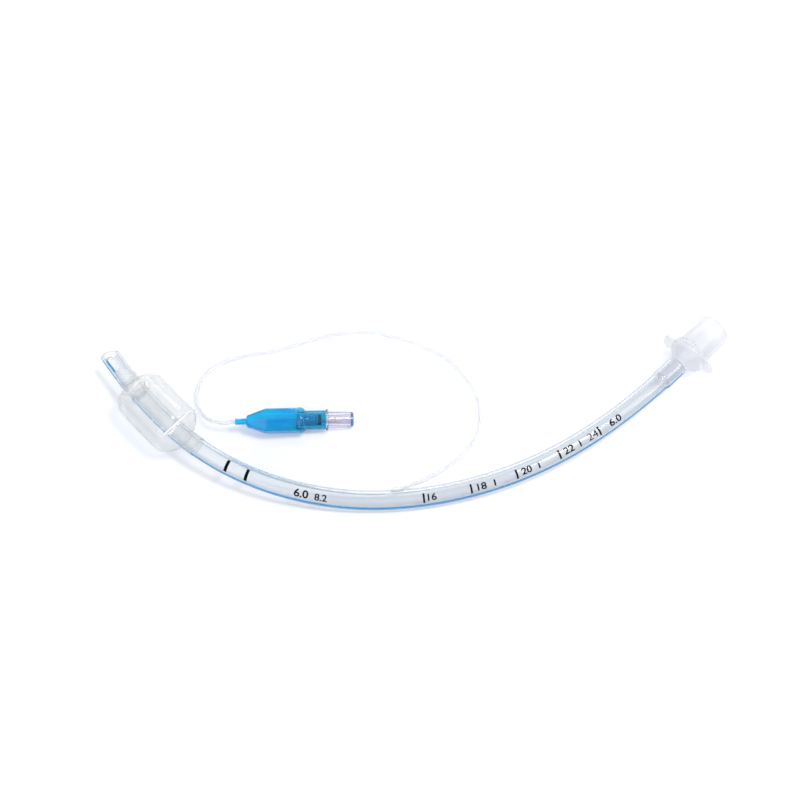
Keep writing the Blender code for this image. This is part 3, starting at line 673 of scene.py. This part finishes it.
def makeFoldHighlight(name, thick, fold):
    # A thin ridge on the film that runs out to nothing at both ends, whose white film paints the
    # fold's highlight
    count, sides = 48, 10
    t = np.linspace(0, 1, count)
    knots = np.linspace(0, 1, len(fold))
    wave = [np.interp(t, knots, fold[:, k]) for k in range(3)]
    soft = np.ones(9) / 9
    s, r, a = (np.convolve(np.pad(w, 4, mode="edge"), soft, mode="valid") for w in wave)
    centre = tubePoints(s, r, np.radians(a))
    along = unit(np.gradient(centre, axis=0))
    across = unit(np.cross(along, centre - centreAt(s)[0]))
    out = np.cross(across, along)
    size = thick * np.sqrt(np.clip(1 - (2 * t - 1) ** 2, 0.003, 1))[:, None]
    points = rings(centre, 1.5 * size * across, 0.7 * size * out, sides)
    makeObject(name, points, cappedFaces(count, sides), foldHighlightFilm, sharp=80,
               flip=True)


# Connector

connector = {
    "spigotDepth": 9.8, "bore": 2.35, "spigot": 3.25, "seat": 0.2, "throat": 1.3,
    "throatRadius": 4.0, "dome": 5.8, "domeRadius": 8.3, "flangeRadius": 8.8, "flange": 1.3,
    "barrel": 17.4, "barrelRadius": 7.75, "taper": 0.0125, "wall": 1.25, "ribs": 24,
    "ribHeight": 0.75, "ribLength": 1.2, "earReach": 13.2, "earHalf": 3.9, "earCorner": 2.8,
    "earFillet": 2.6, "earRoll": 6.0, "edge": 0.3,
}


def makeConnector():
    c, e = connector, connector["edge"]
    place = Matrix.Translation((*tube["end"], tube["endHeight"]))
    spigot, throat, rim, wide = c["spigot"], c["throatRadius"], c["flangeRadius"], c["barrelRadius"]
    back, seat = -c["spigotDepth"], c["seat"]
    domeAt = seat + c["throat"]
    flangeAt = domeAt + c["dome"]
    barrelAt = flangeAt + c["flange"]
    ribsEnd, end = barrelAt + c["ribLength"], barrelAt + c["barrel"]
    tip = wide - c["taper"] * c["barrel"]
    mouth = tip - c["wall"]
    deep = wide - c["wall"] - 2 * c["taper"] * c["barrel"]
    dome = [(domeAt + c["dome"] * t, throat + (c["domeRadius"] - throat)
             * float(smoothStep(t ** 0.8))) for t in np.linspace(0, 1, 14)]
    funnel = [(barrelAt - (barrelAt - seat) * t, deep + (c["bore"] - deep) * float(smoothStep(t)))
              for t in np.linspace(0, 1, 12)]
    profile = [(back, c["bore"]), (back, spigot - e), (back + e, spigot), (seat, spigot),
               (seat, throat - 0.15), (seat + 0.15, throat), *dome,
               (flangeAt, rim - e), (flangeAt + 0.4 * e, rim - 0.2 * e), (flangeAt + e, rim),
               (barrelAt - e, rim), (barrelAt - 0.4 * e, rim - 0.2 * e), (barrelAt, rim - e),
               (barrelAt, wide), (ribsEnd, wide), (ribsEnd + e, wide - 0.02), (end - e, tip),
               (end - 0.3 * e, tip - 0.25 * e), (end, tip - e), (end, mouth + 0.15),
               (end - 0.15, mouth), *funnel]
    piece = turned("connectorBody", profile, mouldedPolypropylene, place,
                   "connector", sides=6 * c["ribs"], sharp=30)
    raiseRibs(piece, place, barrelAt)
    joinEars(piece, place, flangeAt, barrelAt)


def raiseRibs(piece, place, barrelAt):
    # Small square grip ribs round the barrel's base: three of each six sides are raised
    c = connector
    for v in piece.data.vertices:
        local = v.co / mm - place.translation
        radius = math.hypot(local.y, local.z)
        line = round(math.atan2(local.z, local.y) / (2 * math.pi) * 6 * c["ribs"]) % 6
        onBase = barrelAt - 0.01 < local.x < barrelAt + c["ribLength"] + 0.01
        if onBase and line in (0, 1, 2) and abs(radius - c["barrelRadius"]) < 0.05:
            grown = (radius + c["ribHeight"]) / radius
            v.co.y = (place.translation.y + local.y * grown) * mm
            v.co.z = (place.translation.z + local.z * grown) * mm
    piece.data.update()


def earOutline():
    # One ear seen along the axis: a fillet up from the flange, then a round corner, mirrored
    c = connector
    edge, fillet, half, corner = (c["flangeRadius"] - c["edge"], c["earFillet"], c["earHalf"],
                                  c["earCorner"])
    y, z = math.sqrt((edge + fillet) ** 2 - (half + fillet) ** 2), half + fillet
    upper = [(y + fillet * math.cos(a), z + fillet * math.sin(a))
             for a in np.linspace(math.pi + math.atan2(z, y), 1.5 * math.pi, 9)]
    upper += [(c["earReach"] - corner + corner * math.cos(a), half - corner
               + corner * math.sin(a)) for a in np.linspace(math.pi / 2, 0, 10)]
    return upper + [(y, -z) for y, z in reversed(upper) if z > 1e-6]


def joinEars(piece, place, flangeAt, barrelAt):
    # Two flat ears with softened edges, joined onto the flange
    for way in (1, -1):
        roll = Matrix.Rotation(-math.radians(connector["earRoll"]), 2)
        outline = [roll @ Vector((way * y, z)) for y, z in earOutline()]
        bm = bmesh.new()
        face = bm.faces.new([bm.verts.new((flangeAt + 0.03, y, z)) for y, z in outline])
        grown = bmesh.ops.extrude_face_region(bm, geom=[face])["geom"]
        bmesh.ops.translate(bm, verts=[v for v in grown if isinstance(v, bmesh.types.BMVert)],
                            vec=(barrelAt - flangeAt - 0.06, 0, 0))
        bmesh.ops.recalc_face_normals(bm, faces=bm.faces)
        sharp = [e for e in bm.edges if len(e.link_faces) == 2 and e.calc_face_angle() > 1.2]
        bmesh.ops.bevel(bm, geom=sharp, offset=0.28, segments=3, affect="EDGES", profile=0.5)
        bmesh.ops.transform(bm, matrix=Matrix.Scale(mm, 4) @ place, verts=bm.verts)
        mesh = bpy.data.meshes.new("ear")
        bm.to_mesh(mesh)
        bm.free()
        ear = addObject("ear", mesh)
        join = piece.modifiers.new("ear", "BOOLEAN")
        join.operation, join.solver, join.object = "UNION", "EXACT", ear
        joined = evaluatedMesh(piece)
        piece.modifiers.clear()
        piece.data = joined
        bpy.data.objects.remove(ear)
    piece.data.name = piece.name
    piece.data.shade_smooth()
    piece.data.set_sharp_from_angle(angle=math.radians(30))


# Inflation line

line = {
    "outer": 1.0, "bore": 0.45, "sides": 20, "points": 320, "nose": 2.4,
    "route": (
        (-48.4, -35.2, 4.2), (-45.5, -36.9, 3.9), (-40.9, -38.7, 2.8), (-33.1, -41.1, 1.5),
        (-24.5, -43.1, 1.1), (-15.5, -44.0, 1.0), (-6.5, -42.8, 1.0), (2.3, -38.8, 1.0),
        (9.7, -31.6, 1.0), (14.2, -21.4, 1.0), (16.1, -9.2, 1.0), (14.1, 3.8, 1.0),
        (9.3, 16.3, 1.0), (2.1, 28.0, 1.0), (-9.0, 37.7, 1.0), (-21.0, 44.5, 1.0),
        (-32.5, 50.2, 1.0), (-43.0, 57.4, 1.0), (-51.5, 62.1, 1.0), (-58.7, 63.9, 1.0),
        (-65.0, 63.3, 1.1), (-69.9, 60.9, 1.4), (-73.6, 57.8, 2.0), (-76.4, 53.6, 3.1),
        (-78.3, 47.9, 4.7), (-78.4, 42.5, 6.2), (-76.1, 37.9, 7.4), (-72.6, 34.2, 8.1),
    ),
}


def smoothRoute(points, count):
    # Evenly spaced points on a smooth curve through the route's own points
    route = [Vector(p) for p in points]
    route = [2 * route[0] - route[1]] + route + [2 * route[-1] - route[-2]]
    fine = []
    for a, b, c, d in zip(route, route[1:], route[2:], route[3:]):
        for t in np.linspace(0, 1, 12, endpoint=False):
            fine.append(0.5 * (2 * b + (c - a) * t + (2 * a - 5 * b + 4 * c - d) * t ** 2
                               + (3 * b - a - 3 * c + d) * t ** 3))
    fine = np.array(fine + [route[-2]])
    run = summed(np.linalg.norm(np.diff(fine, axis=0), axis=1))
    even = np.linspace(0, run[-1], count)
    path = np.stack([np.interp(even, run, fine[:, k]) for k in range(3)], axis=-1)
    path[:, 2] = np.maximum(path[:, 2], line["outer"])
    return path, run[-1]


def makeLine():
    path, length = smoothRoute(line["route"], line["points"])
    along = unit(np.gradient(path, axis=0))
    side = unit(np.cross([0, 0, 1.0], along))
    up = np.cross(along, side)
    run = np.linspace(0, length, line["points"])
    nose = np.sqrt(np.clip(run / line["nose"], 0.04, 1))[:, None]
    outer, inner = (rings(path, side * radius * nose, up * radius * nose, line["sides"])
                    for radius in (line["outer"], line["bore"]))
    piece = makeObject("inflationLine", np.concatenate([outer, inner[::-1]]),
                       gridFaces(2 * line["points"], line["sides"], True), extrudedLinePvc,
                       "inflation_line")
    return piece, path, length


# The adhesive over the notch: where it lies along and round the tube, and its half sizes
bead = {"at": 149.8, "facing": 25.0, "radius": 4.3, "half": (2.6, 1.0, 1.0)}


def makeBead():
    centre, side, up = centreAt(bead["at"])
    middle = tubePoints(bead["at"], bead["radius"], math.radians(bead["facing"]))
    along = np.cross(side, up)
    bm = bmesh.new()
    bmesh.ops.create_uvsphere(bm, u_segments=28, v_segments=18, radius=1.0)
    ball, faces = pointsAndFaces(bm)
    uneven = 1 + 0.12 * np.sin(3 * ball[:, 0] + 2 * ball[:, 1]) * (1 - ball[:, 0] ** 2)
    a, b, c = (ball * uneven[:, None] * np.array(bead["half"])).T
    verts = middle + a[:, None] * along + b[:, None] * side + c[:, None] * up
    makeObject("adhesiveBead", verts, faces, curedAdhesive)


# Pilot balloon and valve, along an axis that starts at the neck's open end

pilot = {
    "at": (-72.4, 34.0), "heading": -41.7, "neck": 4.9, "neckRadius": 1.3, "startRadius": 2.55,
    "radius": 5.75, "cone": 8.1, "straight": 14.2, "shoulder": 2.6, "tail": 8.7, "film": 0.3,
    "gap": 0.2, "facets": 6, "facetDepth": 0.9, "facetTurn": 12.0,
}
valve = {
    "skirt": 3.7, "skirtLength": 12.2, "chamber": 2.75, "collar": 4.6, "collarThick": 0.9,
    "luer": 10.8, "luerOuter": 3.5, "luerTip": 3.2, "luerBore": 2.14, "luerTaper": 0.03,
    "seatDepth": 1.8, "seatThick": 1.0, "seatHole": 1.45, "retainer": 1.0, "retainerHole": 1.0,
    "seal": 2.4, "sealThick": 1.2, "stem": 0.9, "stemShoulder": 2.2, "shoulderThick": 0.8,
    "head": 1.3, "headLength": 3.0, "headDepth": 4.9, "guide": 3.0, "spring": 1.8, "wire": 0.25,
    "turns": 6, "band": (1.2, 0.4, 2.45, 2.95),
}


def pilotPlace():
    heavyEnd = pilot["neck"] + pilot["cone"] + pilot["straight"]
    collar = heavyEnd + pilot["shoulder"] + pilot["tail"] + pilot["gap"] + valve["collarThick"]
    pitch = math.atan((pilot["radius"] - valve["collar"]) / (collar - heavyEnd))
    height = pilot["radius"] * math.cos(pitch) + heavyEnd * math.sin(pitch)
    return (Matrix.Translation((*pilot["at"], height))
            @ Matrix.Rotation(math.radians(pilot["heading"]), 4, "Z")
            @ Matrix.Rotation(pitch, 4, "Y"))


def makeBalloon(place):
    p = pilot
    neck, narrow, first, radius = p["neck"], p["neckRadius"], p["startRadius"], p["radius"]
    tail = valve["skirt"] + p["gap"] + p["film"]
    coneEnd = neck + p["cone"]
    straightEnd = coneEnd + p["straight"]
    tailAt = straightEnd + p["shoulder"]
    tailEnd, slope = tailAt + p["tail"], (radius - first) / p["cone"]
    outer = [(0.0, narrow - 0.08), (0.1, narrow), (neck - 0.55, narrow), (neck - 0.2, narrow + 0.2),
             (neck - 0.02, first - 0.45), (neck + 0.2, first - 0.05)]
    outer += [(neck + u, first + slope * u) for u in np.linspace(0.5, p["cone"] - 0.5, 9)]
    outer += [(coneEnd, radius - 0.3 * slope), (coneEnd + 0.5, radius)]
    outer += [(u, radius) for u in np.linspace(coneEnd + 2, straightEnd - 1.5, 7)]
    outer += [(straightEnd + p["shoulder"] * math.sin(a), tail + (radius - tail) * math.cos(a))
              for a in np.radians(np.linspace(0, 82, 9))]
    outer += [(tailAt + 0.4, tail + 0.02), (tailAt + 0.9, tail), (tailEnd - 0.15, tail),
              (tailEnd, tail - 0.12)]
    inner = [(u, r - p["film"]) for u, r in outer]
    piece = turned("pilotBalloon", outer + inner[::-1], balloonFilm, place,
                   "pilot_balloon")
    # The balloon is blown from flat film, so its cone and body have soft flats along them
    away = place.inverted()
    step = 2 * math.pi / p["facets"]
    for v in piece.data.vertices:
        local = away @ (v.co / mm)
        turn = (math.atan2(local.z, local.y) + math.radians(p["facetTurn"])) % step - step / 2
        flat = 1 - math.cos(step / 2) / math.cos(turn)
        here = smoothStep((local.x - neck) / 3) * smoothStep((straightEnd + 1 - local.x) / 3)
        scale = 1 - p["facetDepth"] * flat * float(here)
        v.co = place @ Vector((local.x, local.y * scale, local.z * scale)) * mm
    piece.data.materials.append(sleeveFilm)
    for face in piece.data.polygons:
        if (away @ (face.center / mm)).x > straightEnd - 2.2:
            face.material_index = 1
    piece.data.update()
    return piece


def hoop(start, end, inner, outer):
    # The profile of a plain ring
    return [(start, inner), (start, outer), (end, outer), (end, inner)]


def makeValve(place):
    v, p = valve, pilot
    collar = p["neck"] + p["cone"] + p["straight"] + p["shoulder"] + p["tail"] + p["gap"]
    back, front = collar - v["skirtLength"], collar + v["collarThick"]
    mouth = front + v["luer"]
    seat = collar - v["seatDepth"]
    luerStart = seat + v["seatThick"]
    deep = v["luerBore"] - v["luerTaper"] * (mouth - luerStart)
    body = rounded([(back, v["chamber"]), (back, v["skirt"]), (collar, v["skirt"]),
                    (collar, v["collar"]), (front, v["collar"]), (front, v["luerOuter"]),
                    (mouth, v["luerTip"]), (mouth, v["luerBore"]), (luerStart, deep),
                    (luerStart, v["seatHole"]), (seat, v["seatHole"]), (seat, v["chamber"])], 0.22)
    stop, ring = back + v["retainer"], v["chamber"] - p["gap"]
    sealEnd = seat - p["gap"]
    sealStart = sealEnd - v["sealThick"]
    hole, rest = v["stem"] + p["gap"], sealStart - p["gap"]
    shoulder = rest - v["shoulderThick"]
    headEnd = mouth - v["headDepth"]
    head = headEnd - v["headLength"]
    tiny = 0.01  # the stem is closed at its ends by rings this small
    bandFrom, bandTo, bandIn, bandOut = v["band"]
    retainer = rounded(hoop(back, stop, v["retainerHole"], ring), 0.12)
    seal = rounded(hoop(sealStart, sealEnd, hole, v["seal"]), 0.25)
    stem = rounded([(shoulder - v["guide"], tiny), (shoulder - v["guide"], v["stem"]),
                    (shoulder, v["stem"]), (shoulder, v["stemShoulder"]), (rest, v["stemShoulder"]),
                    (rest, v["stem"]), (head, v["stem"]), (head + 0.2, v["head"]),
                    (headEnd, v["head"]), (headEnd, tiny)], 0.2)
    band = rounded(hoop(mouth - bandFrom, mouth - bandTo, bandIn, bandOut), 0.1)
    return [
        turned("valveBody", body, mouldedStyrene, place, "valve_body"),
        turned("valveRetainer", retainer, whitePolypropylene, place,
               "valve_retainer"),
        turned("valveSeal", seal, siliconeRubber, place, "valve_seal",
               body=plunger),
        turned("valveStem", stem, mouldedAcetal, place, "valve_stem",
               body=plunger),
        turned("luerBand", band, blueBand, place),
        makeSpring(place, stop + p["gap"] + v["wire"], shoulder - p["gap"] - v["wire"]),
    ]


def makeSpring(place, start, end):
    # A helix of round wire whose first and last turns are wound flat.
    v = valve
    perTurn, sides, travel = 32, 10, 1.5
    t = np.linspace(0, 1, v["turns"] * perTurn + 1)
    flat = 2.4 * v["wire"] / (end - start)  # how much of the length a flat turn takes
    climb = np.interp(t * v["turns"], (0, 1, v["turns"] - 1, v["turns"]), (0, flat, 1 - flat, 1))
    angle = 2 * np.pi * t * v["turns"]
    out = np.stack([0 * t, np.cos(angle), np.sin(angle)], axis=-1)
    centre = v["spring"] * out
    centre[:, 0] += start + climb * (end - start)
    points = rings(centre, v["wire"] * out, v["wire"] * np.array([1.0, 0, 0]), sides)
    piece = makeObject("valveSpring", placed(points, place), cappedFaces(len(t), sides),
                       drawnSteel, "valve_spring", sharp=50, flip=True)
    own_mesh(piece)
    return piece


# Table, light and camera

stage = {
    "floor": "#EFF0F2", "half": 4.0, "lift": 0.2, "liftColour": "#F6F7FF", "liftFrom": 0.3,
    "liftTo": 1.2, "cardFrom": 0.14, "cardTo": 0.3, "far": 0.7, "farColour": "#B4BAC2",
    "room": 0.42, "roomSide": 0.3, "roomTop": 0.9,
    # lamps: the way to each, how far it is, its size and its power
    "lamps": {"high": ((0.18, -0.33, 1.0), 1.8, 0.42, 14.3),
              "side": ((0.5, -0.64, 0.6), 0.9, 0.3, 1.1),
              "fill": ((-0.8, -0.1, 0.55), 0.7, 0.5, 1.25),
              "back": ((0.68, 0.65, 0.3), 1.2, 0.6, 3.2)},
    "camera": (-0.28268, -0.26599, 0.64952), "aim": (-0.01260, -0.00583, 0.0), "lens": 77.79375,
}


def makeTable():
    # A white table that reads as plain white to the camera, and keeps soft shadows
    material, tree = startMaterial("whiteLaminateTable")
    rough = addNode(tree, "MapRange", {"To Min": 0.75, "To Max": 0.85, "Value": grain(tree, 30.0)})
    top = addNode(tree, "BsdfPrincipled", {
        "Base Color": toLinear(stage["floor"]), "Specular IOR Level": 0.1, "Roughness": rough})
    where = addNode(tree, "TexCoord").outputs["Object"]
    away = addNode(tree, "VectorMath", {0: where}, operation="LENGTH").outputs["Value"]
    rise = addNode(tree, "MapRange", {
        "From Min": stage["liftFrom"], "From Max": stage["liftTo"], "To Min": stage["lift"],
        "To Max": 1.0, "Value": away})
    seen = rayIs(tree, "Camera", "Glossy", "Transmission")
    lift = addNode(tree, "Math", {0: seen, 1: rise}, operation="MULTIPLY")
    white = addNode(tree, "Emission", {"Color": toLinear(stage["liftColour"]), "Strength": lift})
    both = addNode(tree, "AddShader", {0: top, 1: white})
    # Glass and shine see the white only near the object, as if on a sheet of white card
    card = addNode(tree, "MapRange", {
        "From Min": stage["cardFrom"], "From Max": stage["cardTo"], "Value": away})
    dim = addNode(tree, "Math", {0: rayIs(tree, "Glossy", "Transmission"), 1: card},
                  operation="MULTIPLY")
    far = addNode(tree, "Emission", {
        "Color": toLinear(stage["farColour"]), "Strength": stage["far"]})
    shown = addNode(tree, "MixShader", {0: dim, 1: both, 2: far})
    addNode(tree, "OutputMaterial", {"Surface": shown})
    mesh = bpy.data.meshes.new("table")
    half, drop = stage["half"], -0.00005
    mesh.from_pydata([(-half, -half, drop), (half, -half, drop), (half, half, drop),
                      (-half, half, drop)], [], [(0, 1, 2, 3)])
    mesh.materials.append(material)
    addObject("table", mesh)


def makeLight():
    world = bpy.data.worlds.new("whiteRoom")
    world.use_nodes = True
    scene.world = world
    tree = world.node_tree
    tree.nodes.clear()
    # Shine and glass see a room that is darker towards its sides, so their edges stand out
    where = addNode(tree, "TexCoord").outputs["Generated"]
    height = addNode(tree, "SeparateXYZ", {"Vector": where}).outputs["Z"]
    sides = addNode(tree, "MapRange", {
        "From Max": 0.75, "To Min": stage["roomSide"], "To Max": stage["roomTop"],
        "Value": height})
    lit = addNode(tree, "MapRange", {
        "Value": rayIs(tree, "Glossy", "Transmission"), "To Min": stage["room"], "To Max": sides})
    strength = addNode(tree, "MapRange", {
        "Value": rayIs(tree, "Camera"), "To Min": lit, "To Max": 1.0})
    room = addNode(tree, "Background", {"Color": toLinear("#FFFFFF"), "Strength": strength})
    addNode(tree, "OutputWorld", {"Surface": room})
    for name, (way, away, size, power) in stage["lamps"].items():
        data = bpy.data.lights.new(name, "AREA")
        data.shape, data.size, data.energy = "SQUARE", size, power
        lamp = addObject(name, data)
        towards = Vector(way).normalized()
        lamp.location = towards * away
        lamp.rotation_euler = (-towards).to_track_quat("-Z", "Y").to_euler()
        lamp.visible_transmission = False
    scene.cycles.caustics_refractive = False
    scene.cycles.caustics_reflective = False
    scene.cycles.transparent_max_bounces = 32
    scene.cycles.transmission_bounces = 16
    scene.cycles.max_bounces = 16


def makeCamera():
    data = bpy.data.cameras.new("camera")
    data.sensor_width, data.lens = 36.0, stage["lens"]
    camera = addObject("camera", data)
    camera.location = stage["camera"]
    aim = Vector(stage["aim"]) - camera.location
    camera.rotation_euler = aim.to_track_quat("-Z", "Y").to_euler()
    scene.camera = camera


scene.view_settings.view_transform = "Standard"
makeCamera()
inflationLine, linePath, lineLength = makeLine()
print("line ready:", round(lineLength, 1), "mm")
makeTube()
makeBead()
makeStripe()
makePrint()
print("tube, stripe and print ready")
makeCuff()
makeConnector()
print("cuff and connector ready")
axisPlace = pilotPlace()
pilotPieces = [makeBalloon(axisPlace)] + makeValve(axisPlace)
print("pilot balloon and valve ready")
makeTable()
makeLight()
print("table and light ready")
